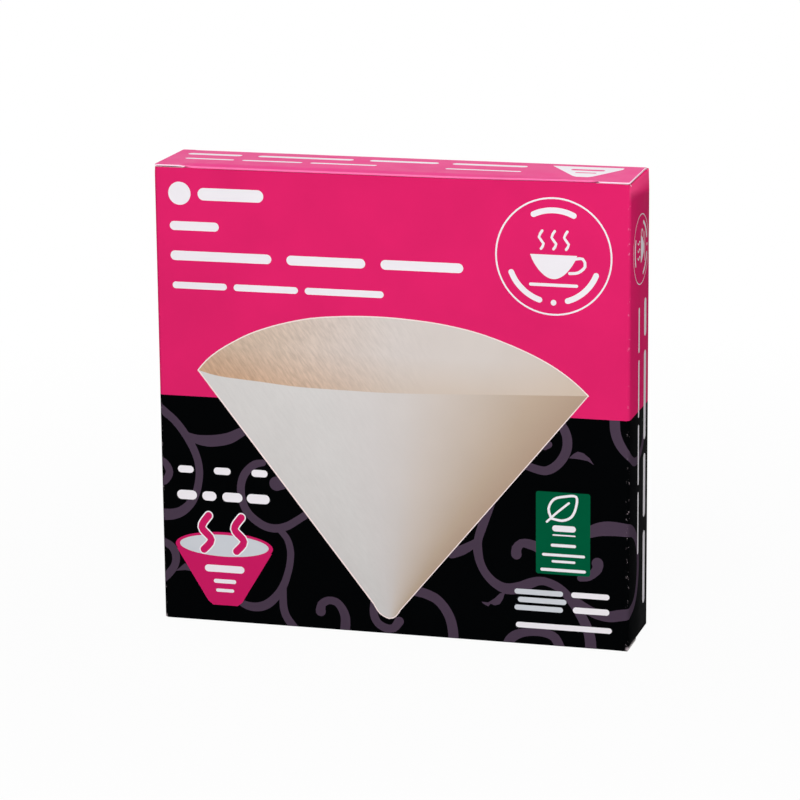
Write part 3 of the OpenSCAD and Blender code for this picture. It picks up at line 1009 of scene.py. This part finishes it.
def upper_lid_words():
    """Words and the small drawing on the upper lid, laid out from the front left corner"""
    shapes = []
    for x0, x1, y, h in ((5.0, 25.0, 23.2, 3.0), (31.0, 66.0, 23.2, 3.0), (72.0, 97.0, 23.2, 3.0),
                         (102.0, 129.0, 23.2, 3.0), (7.0, 25.0, 14.0, 1.9), (28.0, 50.0, 14.0, 1.9),
                         (53.0, 77.0, 14.0, 1.9), (102.0, 129.0, 13.2, 1.7)):
        shapes.append(("white", bar(x0, x1, y, h)))
    shapes.append(("white", [(137.2, 27.2), (148.0, 9.0), (149.4, 7.6), (153.6, 7.6),
                             (155.0, 9.0), (162.7, 24.3), (162.7, 27.2)]))
    for x0, x1, y, h in ((145.0, 157.0, 21.0, 2.6), (147.5, 155.0, 15.6, 1.4)):
        # the drawing's pink is the lid's colour, with its painted sheen
        shapes.append(("lid_pink", bar(x0, x1, y, h)))
    front_to_s = LID_AXIS_Y + HALF_D
    # the ink is rubbed off along the right cut edge
    worn_from = HALF_W + LID_HALF_W - 0.3
    shapes.append(("pink_edge", rect(worn_from, 0.0, WIDE + 1, front_to_s - 0.4)))
    return [(name, [(x - HALF_W, front_to_s - y) for x, y in shape]) for name, shape in shapes]


def lid_outline():
    length = LID_AXIS_Y - TUCK_AXIS_Y
    nose = length + BOARD * math.pi / 2 * 0.96
    ear = LID_AXIS_Y + HALF_D
    r = 0.8
    bead = -BOARD / 2 * math.radians(88)
    root = length + 0.02
    ear_x = SLIT_END + SLIT_WIDE
    right = [(SLIT_END, nose), (SLIT_END, root), (ear_x, root), (ear_x, ear - r)]
    right += arc(ear_x + r, ear - r, r, 165, 90, 5)
    right += arc(LID_HALF_W - r, ear - r, r, 90, 0)
    right.append((LID_HALF_W, bead))
    return right + [(-x, s) for x, s in reversed(right)]


def lid_joined(x, s):
    """The lid's two creases: its hinge, and the fold between the slits"""
    length = LID_AXIS_Y - TUCK_AXIS_Y
    return s < -0.3 or (s > length + 0.6 and abs(x) < SLIT_END + 0.01)


def lid_fold(x, s):
    """The inner side of the fold between the slits, where the real sheet shows its print"""
    return s > LID_AXIS_Y - TUCK_AXIS_Y - FOLD_INSIDE - 0.01 and abs(x) < SLIT_END + 0.01


def make_lid(name, place, prints, node, body, cut):
    length = LID_AXIS_Y - TUCK_AXIS_Y
    u_lines = [-LID_HALF_W + 2 * LID_HALF_W * i / 24 for i in range(1, 24)]
    u_lines += [-77.5, -76.5, -75.6, -74.7, 80.0, 77.0, 75.2, -80.4, -79.6]
    v_lines = [-0.3, -0.15, 0.0, 0.8, 1.6, 2.6, 8.0, 14.0, 20.0, 24.6, 26.0, 27.2, 28.4, 29.2]
    v_lines += [length - FOLD_INSIDE, length, length + 0.2, length + 0.4, length + 0.6]
    lid = fold_sheet(name, place, lid_outline(), prints, u_lines, v_lines, lid_joined, True, cut,
                     under=lid_fold)
    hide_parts(node)
    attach(lid, body)


def tuck_outline():
    top = 0.1
    r = TUCK_CORNER
    right = [(SLIT_END - 0.05, top), (SLIT_END - 0.05, SLIT_OPEN), (TUCK_HALF_W, SLIT_OPEN)]
    right += arc(TUCK_HALF_W - r, TUCK_LEN - r, r, 0, 90, 10)
    return [(-x, s) for x, s in reversed(right)] + right


def make_tuck(name, place, prints, node, body, cut):
    u_lines = [-TUCK_HALF_W + 2 * TUCK_HALF_W * i / 16 for i in range(1, 16)]
    v_lines = [0.6, 1.5, 2.5, 4.0, 6.0, 9.0]
    flap = fold_sheet(name, place, tuck_outline(), prints, u_lines, v_lines,
                      lambda x, s: s < 0.12, True, cut)
    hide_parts(node)
    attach(flap, body)


make_carton()
make_lid("top_lid_board", lid_place, lid_print("lid_pink", "crease_pink") + upper_lid_words(),
         "top_lid", "top_lid", "pink_edge")
make_tuck("top_tuck_board", tuck_place, [("pink", rect(-90, -5, 90, 20))],
          "top_tuck_flap", "top_tuck", "pink_edge")
make_lid("bottom_lid_board", turned_over(lid_place, 0.016), lid_print("black", "black"),
         "bottom_lid", "bottom_lid", "edge")
make_tuck("bottom_tuck_board", turned_over(tuck_place), [("black", rect(-90, -5, 90, 20))],
          "bottom_tuck_flap", "bottom_tuck", "edge")

# Filters

paper = creped_paper("creped_paper")
for name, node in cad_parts.items():
    if name.startswith("filter_"):
        node.data.materials.clear()
        node.data.materials.append(paper)

# Floor, light and camera

def stage_material(name, colour, white_share):
    """Lit floor that a camera or a glossy ray sees mostly as the white background"""
    n = Nodes(name)
    n.finish(colour, 0.9, 0.0)
    glow = n.add("ShaderNodeEmission")
    path = n.add("ShaderNodeLightPath")
    seen = n.math("MAXIMUM", path.outputs["Is Camera Ray"], path.outputs["Is Glossy Ray"])
    seen = n.math("MAXIMUM", seen, path.outputs["Is Transmission Ray"])
    away = n.add("ShaderNodeVectorMath", operation="LENGTH")
    n.feed(away.inputs[0], n.object_coords)
    share = n.remap(away.outputs["Value"], 0.12, 0.5, white_share, 1.0)
    blend = n.add("ShaderNodeMixShader")
    n.feed(blend.inputs[0], n.math("MULTIPLY", seen, share))
    n.feed(blend.inputs[1], n.shader.outputs[0])
    n.feed(blend.inputs[2], glow.outputs[0])
    n.feed(n.tree.nodes["Material Output"].inputs["Surface"], blend.outputs[0])
    return n.material


FLOOR_SIZE = 12.0
floor_mesh = bpy.data.meshes.new("floor")
half = FLOOR_SIZE / 2
floor_corners = [(-half, -half, 0), (half, -half, 0), (half, half, 0), (-half, half, 0)]
floor_mesh.from_pydata(floor_corners, [], [(0, 1, 2, 3)])
floor_mesh.materials.append(stage_material("floor", linear(205, 205, 205), 0.95))
floor = bpy.data.objects.new("floor", floor_mesh)
floor.location.z = -0.0002
bpy.context.scene.collection.objects.link(floor)

# Strength of the world as a light; the camera sees it at 1, which is white
AMBIENT = 0.32
world = bpy.data.worlds.new("studio")
bpy.context.scene.world = world
world.use_nodes = True
tree = world.node_tree
background = tree.nodes["Background"]
path = tree.nodes.new("ShaderNodeLightPath")
seen = tree.nodes.new("ShaderNodeMath")
seen.operation = "MAXIMUM"
through = tree.nodes.new("ShaderNodeMath")
through.operation = "MAXIMUM"
tree.links.new(path.outputs["Is Camera Ray"], through.inputs[0])
tree.links.new(path.outputs["Is Transmission Ray"], through.inputs[1])
tree.links.new(through.outputs[0], seen.inputs[0])
tree.links.new(path.outputs["Is Glossy Ray"], seen.inputs[1])
strength = tree.nodes.new("ShaderNodeMapRange")
strength.inputs["To Min"].default_value = AMBIENT
strength.inputs["To Max"].default_value = 1.0
tree.links.new(seen.outputs[0], strength.inputs["Value"])
background.inputs["Color"].default_value = (1, 1, 1, 1)
tree.links.new(strength.outputs[0], background.inputs["Strength"])


def area_light(name, place, target, size, power):
    data = bpy.data.lights.new(name, "AREA")
    data.shape = "DISK"
    data.size = size
    data.energy = power
    lamp = bpy.data.objects.new(name, data)
    lamp.location = place
    lamp.rotation_mode = "QUATERNION"
    lamp.rotation_quaternion = (Vector(target) - Vector(place)).to_track_quat("-Z", "Y")
    bpy.context.scene.collection.objects.link(lamp)


# Each lamp's place, what it points at, its width in metres and its power in watts
area_light("key", (0.2, -0.85, 1.05), (0, 0, 0.08), 0.7, 13.2)
area_light("right", (0.33, -0.2, 0.42), (0.085, 0, 0.14), 0.12, 0.12)
area_light("top", (0, 0.1, 1.3), (0, 0, 0.16), 0.5, 0.8)
area_light("rear", (-0.9, 0.9, 0.12), (0, 0, 0.08), 0.2, 6.0)

# The camera stands and looks as a perspective fit of the photo's carton corners says
camera_data = bpy.data.cameras.new("camera")
camera_data.sensor_width = 36.0
camera_data.lens = 162.07
camera_data.clip_start = 0.05
camera_data.clip_end = 50.0
camera = bpy.data.objects.new("camera", camera_data)
forward = Vector((-0.2654, 0.9352, -0.2343)).normalized()
right = Vector((0.9626, 0.2708, -0.0092))
right = (right - forward * right.dot(forward)).normalized()
up = right.cross(forward)
turn = Matrix((right, up, -forward)).transposed()
camera.location = Vector((335.7, -1186.1, 378.5)) * MM
camera.rotation_mode = "QUATERNION"
camera.rotation_quaternion = turn.to_quaternion()
bpy.context.scene.collection.objects.link(camera)
bpy.context.scene.camera = camera
bpy.context.scene.view_settings.view_transform = "Standard"
